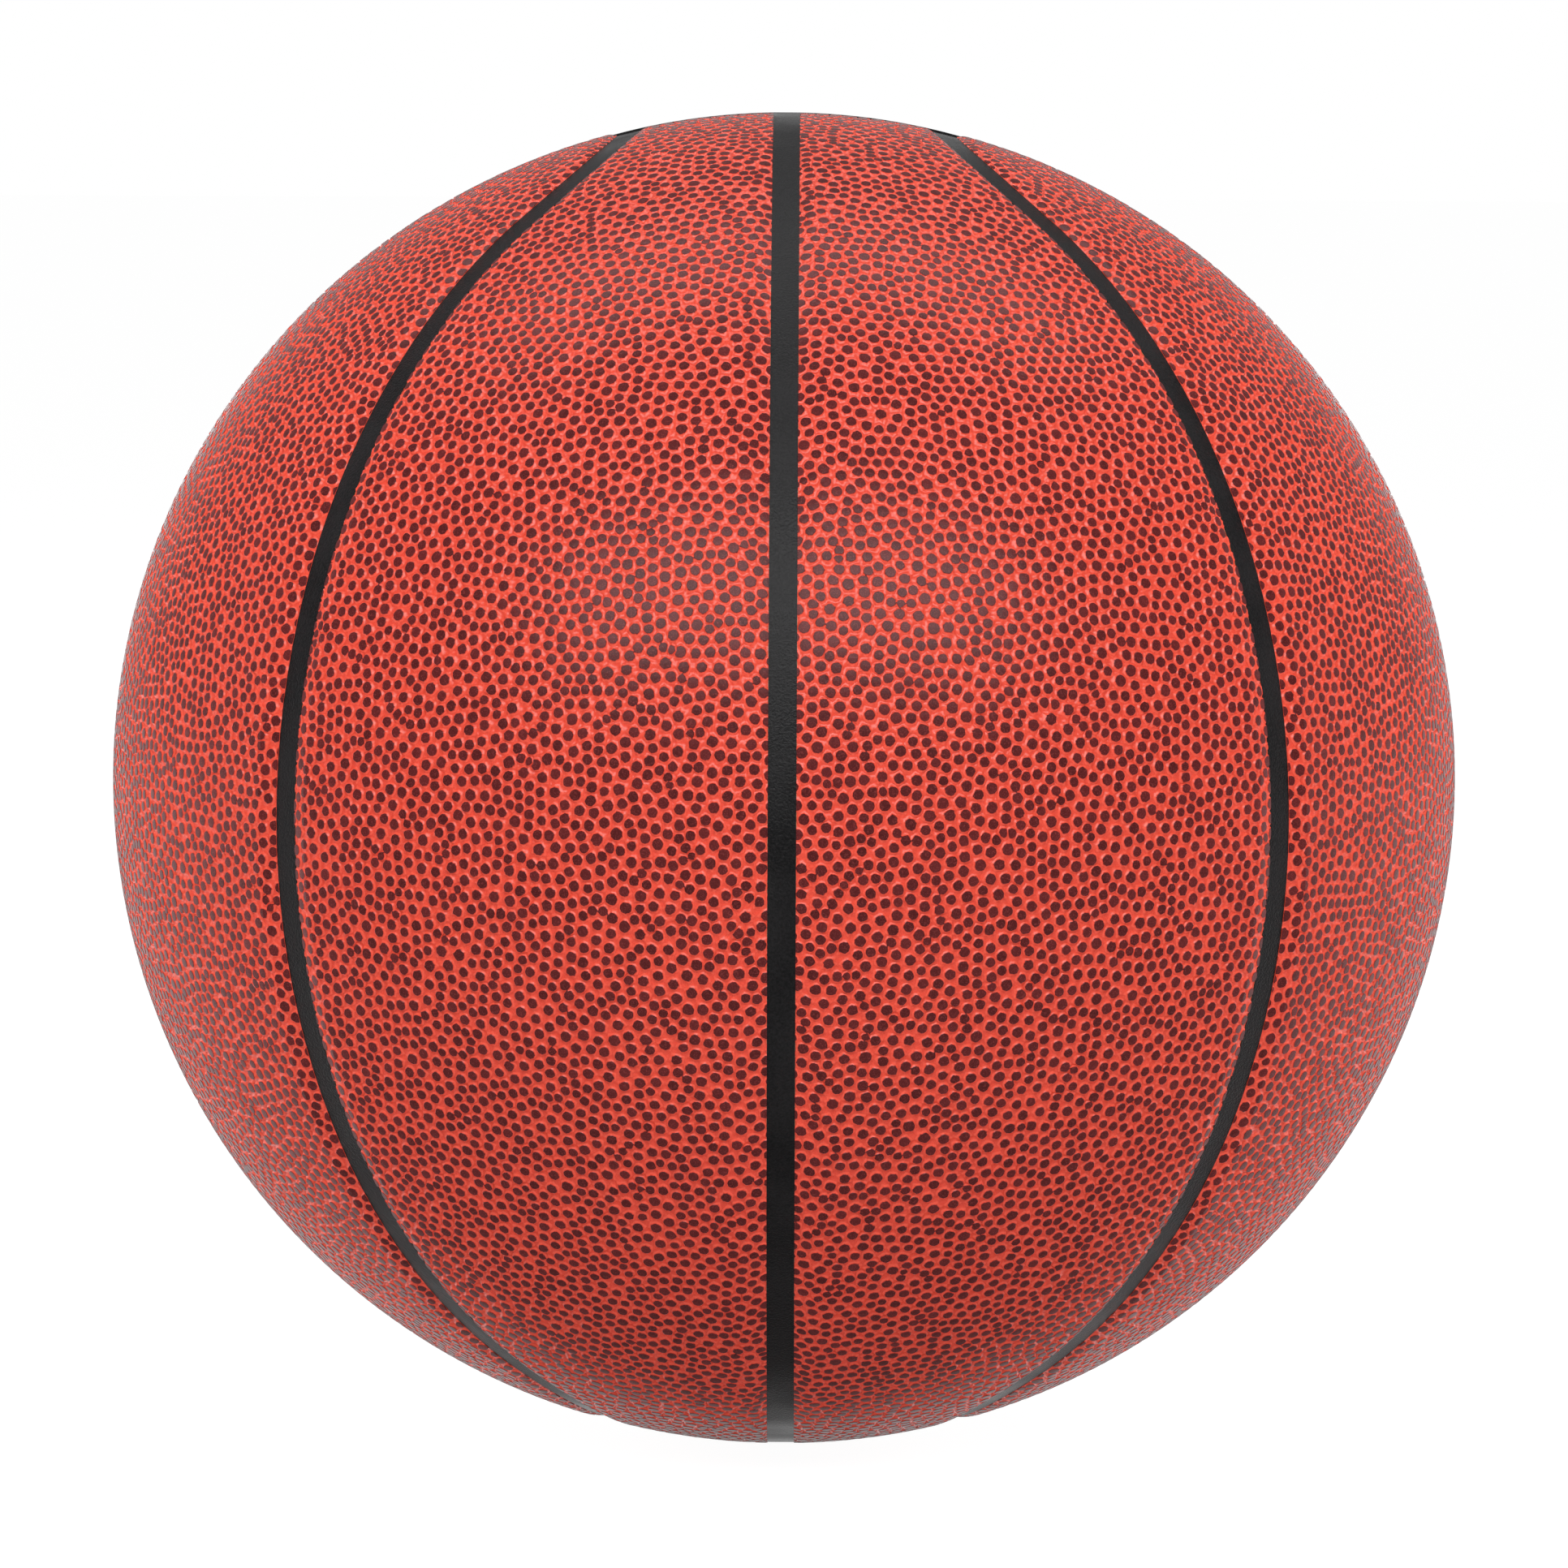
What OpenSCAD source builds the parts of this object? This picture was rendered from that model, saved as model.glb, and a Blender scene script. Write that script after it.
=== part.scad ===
/* [Ball] */
// Outer diameter of the ball over the cover
outer_d = 240; // [210:1:250]
// How much lower the cover lies at the two poles, where the seams crowd together
pole_drop = 1.1; // [0.9:0.1:1.1]

/* [Layers] */
// Thickness of the cover panels
cover_t = 1.6; // [1.4:0.1:2.2]
// Thickness of the foam behind each panel
foam_t = 1; // [0.6:0.1:1.8]
// Thickness of the rubber carcass
carcass_t = 1.1; // [0.8:0.1:2]
// Thickness of the nylon winding
winding_t = 0.7; // [0.4:0.1:1.5]
// Thickness of the air bladder
bladder_t = 0.7; // [0.5:0.1:1.5]

/* [Seams] */
// Width of the rubber strips between the panels
rib_w = 4.7; // [3:0.1:6.3]
// How far the strips lie below the panels' cut edges
rib_recess = 0.25; // [0.1:0.05:0.5]
// Depth of the panels' cut edges below the ball's surface
valley_depth = 1.2; // [1.1:0.05:1.2]
// Width of the slope from a panel's surface down to its edge
valley_w = 6.5; // [4:0.5:8]
// Angle from the centre strip round to each side loop
loop_turn = 45.1; // [44.6:0.5:45.6]
// Angle from the crossing of the two rings to the loop's end
loop_end = 13.6; // [13.1:0.5:14.1]

/* [Valve] */
// Angle of the valve round from the centre strip
valve_turn = 15; // [10:1:24]
// Outer diameter of the valve's stem
stem_d = 10; // [8:0.5:14]
// Diameter of the self-sealing plug
plug_d = 6; // [5:0.1:7]
// Length of the self-sealing plug
plug_len = 12; // [10:0.5:16]
// Diameter of the hole for an inflating needle
needle_d = 2; // [1.6:0.1:2.4]
// Diameter of the flange that seals the valve to the bladder
flange_d = 34; // [24:1:44]
// Thickness of the flange
flange_t = 1.5; // [1:0.1:3]
// Depth of the valve's face below the cover
valve_recess = 0.4; // [0.1:0.1:1]

/* [Hidden] */
$fn = 256;

// The layers from the outside in: each one starts where the one over it ends
ball_r = outer_d / 2;
foam_r = ball_r - cover_t;
carcass_r = foam_r - foam_t;
winding_r = carcass_r - carcass_t;
bladder_r = winding_r - winding_t;
air_r = bladder_r - bladder_t;
rib_r = ball_r - valley_depth - rib_recess;
half_rib = rib_w / 2;
// Reach of the blocks that cut the ball into regions
reach = outer_d;

// A side loop is two arcs of great circles in upright planes, joined near each pole of the ball by an
// arc of a small circle that touches both. end_el is the height of the loop's end in degrees.
end_el = 90 - loop_end;
bend_angle = atan2(cos(loop_turn) * cos(end_el), 1 - cos(loop_turn) * sin(end_el));
bend_el = end_el - bend_angle;
arc_end = atan2(sin(bend_el), cos(bend_el) * sin(loop_turn));
bend_half = atan2(cos(loop_turn) * cos(arc_end),
                  sin(arc_end) * cos(bend_el) - sin(loop_turn) * cos(arc_end) * sin(bend_el));
// The bend is this much larger than the circle that would just touch the arcs
bend_ease = 0.05;
// Overlap in degrees of the valleys where an arc hands over to a bend
lap_angle = 0.02;
// The loops' valleys are this much shallower than the rings', so that no two of them meet in one point
// where a loop ends at the side strip
loop_lift = 0.06;

// The valley beside a seam falls in two slopes. Shares of its width and depth at the break between them
break_width_share = 0.4;
break_depth_share = 0.36;
break_w = valley_w * break_width_share;
break_depth = valley_depth * break_depth_share;
outer_fall = break_depth / (valley_w - break_w);
inner_fall = (valley_depth - break_depth) / break_w;
// How far the valley's cut runs on past its edges
run_on = half_rib / 2;
above = 4 * run_on;

// The valve
plug_recess = valve_recess / 2;
stem_out_r = ball_r - valve_recess;
plug_out_r = stem_out_r - plug_recess;
plug_in_r = plug_out_r - plug_len;
mouth_d = 2 * needle_d;
mouth_depth = needle_d / 2;
stem_floor = flange_t;
air_hole_d = 1.5 * needle_d;

// A point at the distance d across a seam and at the given depth below the ball's surface, as
// [radius, height] for a ring whose seam lies at the given angle from the ring's axis
function seam_point(angle, d, depth) =
    let (rise = sqrt(pow(ball_r - depth, 2) - d * d))
    [rise * sin(angle) + d * cos(angle), rise * cos(angle) - d * sin(angle)];

// Section through what is cut away over a seam: its lower side is the two panels' sloping surface.
// shift moves it across the seam, and lift makes it shallower.
module valley_profile(angle, shift, lift) {
    edge = half_rib + valley_w;
    side = [
        [half_rib - run_on, valley_depth + run_on * inner_fall - lift],
        [half_rib + break_w, break_depth - lift],
        [edge + run_on, -run_on * outer_fall - lift],
        [edge + run_on, -above]
    ];
    polygon(concat(
        [for (p = side) seam_point(angle, shift + p[0], p[1])],
        [for (i = [len(side) - 1:-1:0]) seam_point(angle, shift - side[i][0], side[i][1])]
    ));
}

module shell(inner_r, outer_r) {
    difference() {
        sphere(r = outer_r);
        sphere(r = inner_r);
    }
}

// Half space on the far side of the plane x = d
module beyond(d) {
    translate([d, -reach, -reach])
        cube([reach, 2 * reach, 2 * reach]);
}

// Half space in front of the plane y = -d
module in_front(d) {
    translate([-reach, -reach - d, -reach])
        cube([2 * reach, reach, 2 * reach]);
}

// The front right quarter of space, a distance d clear of both planes
module quarter(d) {
    translate([d, -reach - d, -reach])
        cube([reach, reach, 2 * reach]);
}

// What the bend takes off the corner between the two upright planes: the space above the plane through
// both ends of the bend, less the cone that the bend lies on. in moves every wall inwards.
module corner(in) {
    lean = atan2(sin(arc_end), sin(loop_turn) * cos(arc_end));
    difference() {
        rotate([0, -lean, 0])
            translate([-reach, -reach, -in * cos(loop_turn) * sin(lean)])
                cube([2 * reach, 2 * reach, reach]);
        rotate([0, 90 - bend_el, 0])
            translate([0, 0, (in - bend_ease) / sin(bend_angle)])
                cylinder(r1 = 0, r2 = reach * tan(bend_angle), h = reach);
    }
}

// The space inside the right side loop, with its wall moved inwards by in
module loop_space(in) {
    difference() {
        intersection() {
            rotate([0, 0, loop_turn])
                beyond(in);
            rotate([0, 0, -loop_turn])
                beyond(in);
        }
        corner(in);
        mirror([0, 0, 1])
            corner(in);
    }
}

// Valleys: rings cut along the centre strip, the side strip, and the loop's arc and bends
module centre_valley() {
    rotate([0, 90, 0])
        rotate([0, 0, 90])
            rotate_extrude()
                valley_profile(90, 0, 0);
}

module side_valley() {
    rotate([90, 0, 0])
        rotate([0, 0, 180])
            rotate_extrude()
                valley_profile(90, 0, 0);
}

module arc_valley() {
    rotate([0, 0, loop_turn])
        rotate([0, 90, 0])
            rotate([0, 0, -90 - arc_end - lap_angle])
                rotate_extrude(angle = 2 * (arc_end + lap_angle))
                    valley_profile(90, 0, loop_lift);
}

module bend_valley() {
    rotate([0, 90 - bend_el, 0])
        rotate([0, 0, 180 - bend_half - lap_angle])
            rotate_extrude(angle = 2 * (bend_half + lap_angle))
                valley_profile(bend_angle, bend_ease, loop_lift);
}

// The front right quarter of a layer of the ball
module quarter_shell(inner_r, outer_r) {
    intersection() {
        shell(inner_r, outer_r);
        quarter(half_rib);
    }
}

// The quarter of the cover. Its surface is a sphere a little smaller than the ball, moved towards the
// middle of the panel until it touches the ball's size there.
module quarter_cover(middle) {
    intersection() {
        difference() {
            translate(pole_drop * middle)
                sphere(r = ball_r - pole_drop);
            sphere(r = foam_r);
        }
        quarter(half_rib);
    }
}

// What is drawn here falls to its edges along the loop too
module with_loop_valleys() {
    difference() {
        difference() {
            difference() {
                children();
                arc_valley();
            }
            bend_valley();
        }
        mirror([0, 0, 1])
            bend_valley();
    }
}

// The front right band panel lies between the centre strip and the loop
module band_cover() {
    color([0.66, 0.25, 0.16])
        with_loop_valleys()
            difference() {
                difference() {
                    quarter_cover([0, -1, 0]);
                    loop_space(-half_rib);
                }
                centre_valley();
            }
}

module band_foam() {
    color([0.93, 0.86, 0.66])
        difference() {
            quarter_shell(carcass_r, foam_r);
            loop_space(-half_rib);
        }
}

// The front right cap panel lies inside the loop
module cap_cover() {
    color([0.64, 0.23, 0.15])
        with_loop_valleys()
            intersection() {
                difference() {
                    quarter_cover([1, 0, 0]);
                    side_valley();
                }
                loop_space(half_rib);
            }
}

module cap_foam() {
    color([0.9, 0.83, 0.62])
        intersection() {
            quarter_shell(carcass_r, foam_r);
            loop_space(half_rib);
        }
}

// A strip that stands on the carcass and fills the gap between two panels
module strip_ring() {
    intersection() {
        shell(carcass_r, rib_r);
        translate([-reach, -reach, -half_rib])
            cube([2 * reach, 2 * reach, rib_w]);
    }
}

module loop_strip() {
    color([0.13, 0.12, 0.12])
        difference() {
            intersection() {
                shell(carcass_r, rib_r);
                loop_space(-half_rib);
                in_front(half_rib);
            }
            loop_space(half_rib);
        }
}

// Places what is drawn for the front right on another quarter of the ball
module on_left() {
    mirror([1, 0, 0])
        children();
}

module on_back() {
    mirror([0, 1, 0])
        children();
}

// The valve's axis leaves the ball through the back right band panel
module at_valve() {
    rotate([0, 0, 90 - valve_turn])
        rotate([0, 90, 0])
            children();
}

module valve_hole() {
    at_valve()
        cylinder(d = stem_d, h = reach);
}

module bladder() {
    color([0.2, 0.2, 0.21])
        difference() {
            shell(air_r, bladder_r);
            valve_hole();
        }
}

module winding_layer() {
    color([0.88, 0.88, 0.82])
        difference() {
            shell(bladder_r, winding_r);
            valve_hole();
        }
}

module carcass() {
    color([0.3, 0.29, 0.28])
        difference() {
            shell(winding_r, carcass_r);
            valve_hole();
        }
}

// Rubber cup that is sealed to the inside of the bladder and reaches out to the cover
module valve_housing() {
    color([0.1, 0.1, 0.1])
        difference() {
            union() {
                intersection() {
                    shell(air_r - flange_t, air_r);
                    at_valve()
                        cylinder(d = flange_d, h = reach);
                }
                at_valve()
                    translate([0, 0, plug_in_r - stem_floor])
                        cylinder(d = stem_d, h = stem_out_r - plug_in_r + stem_floor);
            }
            at_valve()
                translate([0, 0, plug_in_r])
                    cylinder(d = plug_d, h = reach);
            at_valve()
                cylinder(d = air_hole_d, h = reach);
        }
}

// Plug that closes round the needle hole by itself
module valve_core() {
    color([0.24, 0.23, 0.23])
        at_valve()
            difference() {
                translate([0, 0, plug_in_r])
                    cylinder(d = plug_d, h = plug_len);
                cylinder(d = needle_d, h = reach);
                translate([0, 0, plug_out_r - mouth_depth])
                    cylinder(d1 = needle_d, d2 = 2 * mouth_d - needle_d, h = 2 * mouth_depth);
            }
}

module rib_centre_ring() {
    color([0.13, 0.12, 0.12])
        rotate([0, 90, 0])
            strip_ring();
}

module rib_side_right() {
    color([0.13, 0.12, 0.12])
        intersection() {
            rotate([90, 0, 0])
                strip_ring();
            beyond(half_rib);
        }
}

module rib_side_left() {
    on_left()
        rib_side_right();
}

module rib_loop_front_right() {
    loop_strip();
}

module rib_loop_front_left() {
    on_left()
        loop_strip();
}

module rib_loop_back_right() {
    on_back()
        loop_strip();
}

module rib_loop_back_left() {
    on_left()
        on_back()
            loop_strip();
}

module foam_band_front_right() {
    band_foam();
}

module foam_band_front_left() {
    on_left()
        band_foam();
}

module foam_band_back_right() {
    difference() {
        on_back()
            band_foam();
        valve_hole();
    }
}

module foam_band_back_left() {
    on_left()
        on_back()
            band_foam();
}

module foam_cap_front_right() {
    cap_foam();
}

module foam_cap_front_left() {
    on_left()
        cap_foam();
}

module foam_cap_back_right() {
    on_back()
        cap_foam();
}

module foam_cap_back_left() {
    on_left()
        on_back()
            cap_foam();
}

module panel_band_front_right() {
    band_cover();
}

module panel_band_front_left() {
    on_left()
        band_cover();
}

module panel_band_back_right() {
    difference() {
        on_back()
            band_cover();
        valve_hole();
    }
}

module panel_band_back_left() {
    on_left()
        on_back()
            band_cover();
}

module panel_cap_front_right() {
    cap_cover();
}

module panel_cap_front_left() {
    on_left()
        cap_cover();
}

module panel_cap_back_right() {
    on_back()
        cap_cover();
}

module panel_cap_back_left() {
    on_left()
        on_back()
            cap_cover();
}

bladder();
winding_layer();
carcass();
valve_housing();
valve_core();
rib_centre_ring();
rib_side_right();
rib_side_left();
rib_loop_front_right();
rib_loop_front_left();
rib_loop_back_right();
rib_loop_back_left();
foam_band_front_right();
foam_band_front_left();
foam_band_back_right();
foam_band_back_left();
foam_cap_front_right();
foam_cap_front_left();
foam_cap_back_right();
foam_cap_back_left();
panel_band_front_right();
panel_band_front_left();
panel_band_back_right();
panel_band_back_left();
panel_cap_front_right();
panel_cap_front_left();
panel_cap_back_right();
panel_cap_back_left();
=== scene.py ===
# %% [markdown]
# # A basketball, dressed for its portrait
#
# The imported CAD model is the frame: it says where every layer, strip and panel of the ball lies. This
# lesson adds what CAD leaves plain. The cover of a real ball is pressed with thousands of small raised
# pebbles, the seams are strips of black rubber that lie in a shallow valley, and a rubber valve sits in
# one panel. Everything is in metres in the frame's own axes, so nothing has to be fitted. Inside the
# functions lengths are in millimetres, because a ball maker thinks in them.

# %% The frame and the ball's sizes
from math import atan2, cos, pi, radians, sin, sqrt

import bpy
import numpy as np
from mathutils import Matrix, Vector
from mathutils.geometry import delaunay_2d_cdt


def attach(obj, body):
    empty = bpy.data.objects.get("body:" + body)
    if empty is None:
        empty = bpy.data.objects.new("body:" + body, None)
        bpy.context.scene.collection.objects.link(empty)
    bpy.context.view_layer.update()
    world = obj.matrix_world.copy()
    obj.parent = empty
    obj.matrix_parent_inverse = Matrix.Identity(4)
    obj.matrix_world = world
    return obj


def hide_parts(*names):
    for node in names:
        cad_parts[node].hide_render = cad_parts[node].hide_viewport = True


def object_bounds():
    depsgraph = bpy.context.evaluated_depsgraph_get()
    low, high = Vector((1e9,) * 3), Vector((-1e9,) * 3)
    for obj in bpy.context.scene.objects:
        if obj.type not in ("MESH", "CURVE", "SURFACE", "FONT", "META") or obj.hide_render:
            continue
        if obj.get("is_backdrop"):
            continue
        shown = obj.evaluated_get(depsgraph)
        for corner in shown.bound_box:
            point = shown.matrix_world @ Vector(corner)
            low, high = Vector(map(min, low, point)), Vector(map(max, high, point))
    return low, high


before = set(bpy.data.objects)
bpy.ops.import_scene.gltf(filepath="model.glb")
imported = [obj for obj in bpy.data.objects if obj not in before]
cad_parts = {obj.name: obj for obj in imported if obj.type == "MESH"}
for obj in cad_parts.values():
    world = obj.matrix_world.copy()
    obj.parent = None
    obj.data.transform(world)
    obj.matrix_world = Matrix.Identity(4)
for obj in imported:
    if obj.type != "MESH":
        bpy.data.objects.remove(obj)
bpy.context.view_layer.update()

MM = 0.001
BALL_R = 120.0
POLE_DROP = 1.1
FOAM_R = 118.4
HALF_STRIP = 2.35
VALLEY_WIDTH = 5.0
VALLEY_DEPTH = 1.3
LOOP_TURN = radians(45.1)
LOOP_END = radians(13.6)
VALVE_TURN = radians(15)
VALVE_HOLE_R = 5.0
# Directions near the middles of the panels, where their flat maps have the least stretch
PANEL_MIDDLE = {"band": (0.38, 0.92, 0.0), "cap": (0.9, 0.42, 0.0)}
print("nodes in the frame:", len(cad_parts))

# %% [markdown]
# ## Where the seams run
#
# Two rings cross at the poles, and a closed loop lies on each side. The seams mirror in all three middle
# planes, so the absolute values of x, y and z are enough to say how far a point is from each of them. A
# loop is two arcs of great circles in upright planes, joined near each pole by an arc of a small circle
# that touches both. Working with distances keeps the whole ball in a few lines of numpy: the panels, the
# valleys and the cut edges all come from the same functions.

# %% Distance from each seam
END_HEIGHT = pi / 2 - LOOP_END
BEND = atan2(cos(LOOP_TURN) * cos(END_HEIGHT), 1 - cos(LOOP_TURN) * sin(END_HEIGHT))
BEND_HEIGHT = END_HEIGHT - BEND
ARC_END = atan2(sin(BEND_HEIGHT), cos(BEND_HEIGHT) * sin(LOOP_TURN))
BEND_CENTRE = np.array([cos(BEND_HEIGHT), 0, sin(BEND_HEIGHT)])
TOUCH = np.array([sin(LOOP_TURN) * cos(ARC_END), cos(LOOP_TURN) * cos(ARC_END), sin(ARC_END)])
ABOVE_TOUCH = np.cross(BEND_CENTRE, TOUCH)
ABOVE_TOUCH *= np.sign(ABOVE_TOUCH[2])
VALVE_AXIS = np.array([sin(VALVE_TURN), cos(VALVE_TURN), 0])


def loop_distance(points):
    """Distance from the side loop, positive inside it. Up to the height where the bend touches the arc
    it is the distance from the upright plane, x cos(turn) - y sin(turn). Above that it is
    r sin(bend - lean), where lean is the angle between the point and the bend's axis."""
    folded = np.abs(points)
    arc = folded[:, 0] * cos(LOOP_TURN) - folded[:, 1] * sin(LOOP_TURN)
    far = np.linalg.norm(points, axis=1)
    lean = np.arccos(np.clip(folded @ BEND_CENTRE / far, -1, 1))
    bend = far * np.sin(np.clip(BEND - lean, -pi / 2, pi / 2))
    return np.where(folded @ ABOVE_TOUCH > 0, bend, arc)


def panel_fields(points, cap, valve):
    """One column per border of a panel: how far a point lies inside that border, in millimetres."""
    borders = [points[:, 0] - HALF_STRIP, points[:, 1] - HALF_STRIP]
    borders.append(loop_distance(points) * (1 if cap else -1) - HALF_STRIP)
    if valve:
        along = points @ VALVE_AXIS
        across = np.linalg.norm(points - along[:, None] * VALVE_AXIS, axis=1)
        borders.append(np.where(along > 0, across, BALL_R) - VALVE_HOLE_R)
    return np.stack(borders, axis=1)


print("radius of the loops' bends in mm:", round(BALL_R * sin(BEND), 1))

# %% [markdown]
# ## The shape of the cover
#
# The foam behind each panel lets it swell a little towards its middle, so the ball is slightly lower at
# the poles, where the seams crowd together. Beside every strip the panel falls into a valley. A smooth
# greatest value joins the swell and the valleys: the sum of high powers of all depths, and its root.

# %% Radius of the cover
POLE_START, POLE_REACH = 0.86, 0.13
POLE_SHALLOWER = 0.35
VALLEY_CURVE = 1.25
BLEND_POWER = 14
UNDER_STRIP = 1.1


def near_pole(height):
    """Smooth change from 0 to 1 as the height over the ball's radius goes up from the start by the
    reach: 3 t t - 2 t t t, where t goes from 0 to 1 evenly."""
    t = np.clip((np.abs(height) - POLE_START) / POLE_REACH, 0, 1)
    return t * t * (3 - 2 * t)


def cover_radius(unit):
    """Radius of the cover in the direction of each unit vector. A panel is a sphere of radius
    R - drop whose centre is moved by drop towards the panel's middle, and a valley's depth is
    D (1 - d / w) to the power of its curve at the distance d from the cut edge. Under the strip, where
    d is negative, the bracket is held at a limit. The valleys of the two rings are shallower at the
    poles, where the panels lie flush with the strips."""
    x, y = np.abs(unit[:, 0]), np.abs(unit[:, 1])
    loop = loop_distance(unit * BALL_R)
    towards = np.where(loop > 0, x, y)
    inner = BALL_R - POLE_DROP
    swell = POLE_DROP * towards + np.sqrt(inner ** 2 - POLE_DROP ** 2 * (1 - towards ** 2))
    depths = [BALL_R - swell]
    share = 1 - POLE_SHALLOWER * near_pole(unit[:, 2])
    for distance, part in ((BALL_R * x, share), (BALL_R * y, share), (np.abs(loop), 1)):
        rest = 1 - (distance - HALF_STRIP) / VALLEY_WIDTH
        depths.append(VALLEY_DEPTH * part * np.clip(rest, 0, UNDER_STRIP) ** VALLEY_CURVE)
    return BALL_R - (np.stack(depths) ** BLEND_POWER).sum(0) ** (1 / BLEND_POWER)


ways = np.array([*PANEL_MIDDLE.values(), (0, 0, 1)])
ways /= np.linalg.norm(ways, axis=1)[:, None]
print("radius in mm in a band's middle, a cap's middle and at a pole:", cover_radius(ways).round(2))

# %% [markdown]
# ## Triangles on a ball
#
# A pebble's shape depends on how near its neighbours stand, and triangles between the pebbles' middles
# tell who they are. They come from Blender's own Delaunay function, which works in the plane. A
# stereographic map takes the sphere there, and since it keeps circles as circles, the flat triangles are
# also right on the ball.

# %% Neighbours
LONGEST_SIDE = 15


def flat_map(unit, middle):
    """Stereographic map: a point p seen from the point opposite the middle m lands at
    2 (p.u, p.v) / (1 + p.m) on the plane with the axes u and v."""
    side = np.cross([0, 0, 1], middle)
    side /= np.linalg.norm(side)
    up = np.cross(middle, side)
    return 2 * np.stack([unit @ side, unit @ up], 1) / (1 + unit @ middle)[:, None]


def triangulate(unit, middle, edges=()):
    """Delaunay triangles of points on the sphere, as rows of three indices that turn left. If edges are
    given, they are kept, and so are only the triangles inside them."""
    flat = [Vector(p) for p in flat_map(unit, middle).tolist()]
    only_inside = 1 if len(edges) else 0
    found = delaunay_2d_cdt(flat, list(edges), [], only_inside, 1e-9)
    source = np.array([s[0] if s else 0 for s in found[3]])
    return source[np.array(found[2])]


def without_slivers(unit, triangles):
    """Drops the thin triangles along the rim, which show by their long sides."""
    corners = unit[triangles] * BALL_R
    sides = np.linalg.norm(corners - np.roll(corners, 1, axis=1), axis=2)
    return triangles[sides.max(1) < LONGEST_SIDE]


def edges_of(triangles):
    """Every triangle's three edges, each in the triangle's own direction."""
    return np.concatenate([triangles[:, [0, 1]], triangles[:, [1, 2]], triangles[:, [2, 0]]])


def rim_points(count, triangles):
    """Marks the points on edges that only one triangle uses."""
    edges = np.sort(edges_of(triangles), axis=1)
    keys, uses = np.unique(edges[:, 0] * count + edges[:, 1], return_counts=True)
    rim = np.zeros(count, bool)
    rim[keys[uses == 1] // count] = True
    rim[keys[uses == 1] % count] = True
    return rim


# %% [markdown]
# ## Scattering the pebbles
#
# The pebbles of a real cover aren't in rows: they come from a mould that copies leather. Points thrown
# at random would clump, and a grid would show, so the points start on an even spiral, are shaken, and are
# then moved a few times to the middle of the triangles round them. Few rounds keep the layout lively.

# %% Points on a panel
AREA_EACH = 5.3
MEAN_R = 119.5
PEBBLES = int(4 * pi * MEAN_R ** 2 / AREA_EACH)
MARGIN = 7
SHAKE = 0.9
ROUNDS = 4


def even_spiral(count, start):
    """Directions spread evenly over the sphere: point i, for i = 0.5, 1.5 and so on, stands at the
    height 1 - 2 i / n and is turned by i (3 - sqrt 5) pi past the start."""
    index = np.arange(count) + 0.5
    height = 1 - 2 * index / count
    turn = index * (3 - sqrt(5)) * pi + start
    flat = np.sqrt(1 - height ** 2)
    return np.stack([flat * np.cos(turn), flat * np.sin(turn), height], axis=1)


def scatter(seed, cap, middle):
    """Directions over a panel and a margin round it. They start on an even spiral, are shaken, and are
    then evened out by moving every point to the mean of its triangles' centres, weighted by their
    areas. Points on the rim stay."""
    rng = np.random.default_rng(seed)
    unit = even_spiral(PEBBLES, rng.random() * 2 * pi)
    unit += rng.normal(0, SHAKE / BALL_R, unit.shape)
    unit /= np.linalg.norm(unit, axis=1)[:, None]
    unit = unit[panel_fields(unit * BALL_R, cap, False).min(1) > -MARGIN]
    for _ in range(ROUNDS):
        triangles = without_slivers(unit, triangulate(unit, middle))
        a, b, c = (unit[triangles[:, k]] for k in range(3))
        area = np.linalg.norm(np.cross(b - a, c - a), axis=1)
        total, weight = np.zeros_like(unit), np.zeros(len(unit))
        for k in range(3):
            np.add.at(total, triangles[:, k], (a + b + c) / 3 * area[:, None])
            np.add.at(weight, triangles[:, k], area)
        free = ~rim_points(len(unit), triangles) & (weight > 0)
        unit[free] = total[free] / weight[free, None]
        unit /= np.linalg.norm(unit, axis=1)[:, None]
    return unit, without_slivers(unit, triangulate(unit, middle)), rng


print("pebbles that a whole ball without seams would have:", PEBBLES)

# %% [markdown]
# ## From points to pebbles
#
# Each pebble is a low plateau with a sloping edge: a middle point and a ring at the top, from which the
# web falls to the middle of every edge and to a small flat between any three pebbles. A ring has a point
# towards every neighbour and one between, so every Delaunay triangle splits in the same way, and whole
# arrays do the work. A pair that stands close is now and then joined by a narrow neck, as in a real mould.

# %% Steps along the ball and down from it
PEBBLE_HEIGHT = 0.46
DOME = 0.02
LOWER_IN_VALLEY = 0.35


def heading(start, target):
    """Direction from each start to the target, in the ball's tangent plane, and the distance in mm. It
    is the way between them less its part along the start."""
    way = target - start
    way = way - (way * start).sum(2, keepdims=True) * start
    far = np.linalg.norm(way, axis=2, keepdims=True)
    return way / far, far[..., 0] * BALL_R


def lowered(spot, share):
    """Puts points below the crown of the pebbles, by the dome and a share of the pebble's height,
    which is H (1 - q (depth / D) squared): pebbles are lower by the share q in the valleys."""
    spot = spot / np.linalg.norm(spot, axis=1)[:, None]
    crown = cover_radius(spot)
    height = PEBBLE_HEIGHT * (1 - LOWER_IN_VALLEY * ((BALL_R - crown) / VALLEY_DEPTH) ** 2)
    return spot * (crown - DOME - share * height)[:, None]


def stepped(start, way, far, share):
    """Points at the distance far from the starts, in the direction way, lowered by the share."""
    return lowered(start + way * (far / BALL_R)[:, None], share)


print("height of a pebble in mm, on a panel and deep in a valley:",
      PEBBLE_HEIGHT, round(PEBBLE_HEIGHT * (1 - LOWER_IN_VALLEY), 2))

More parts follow.
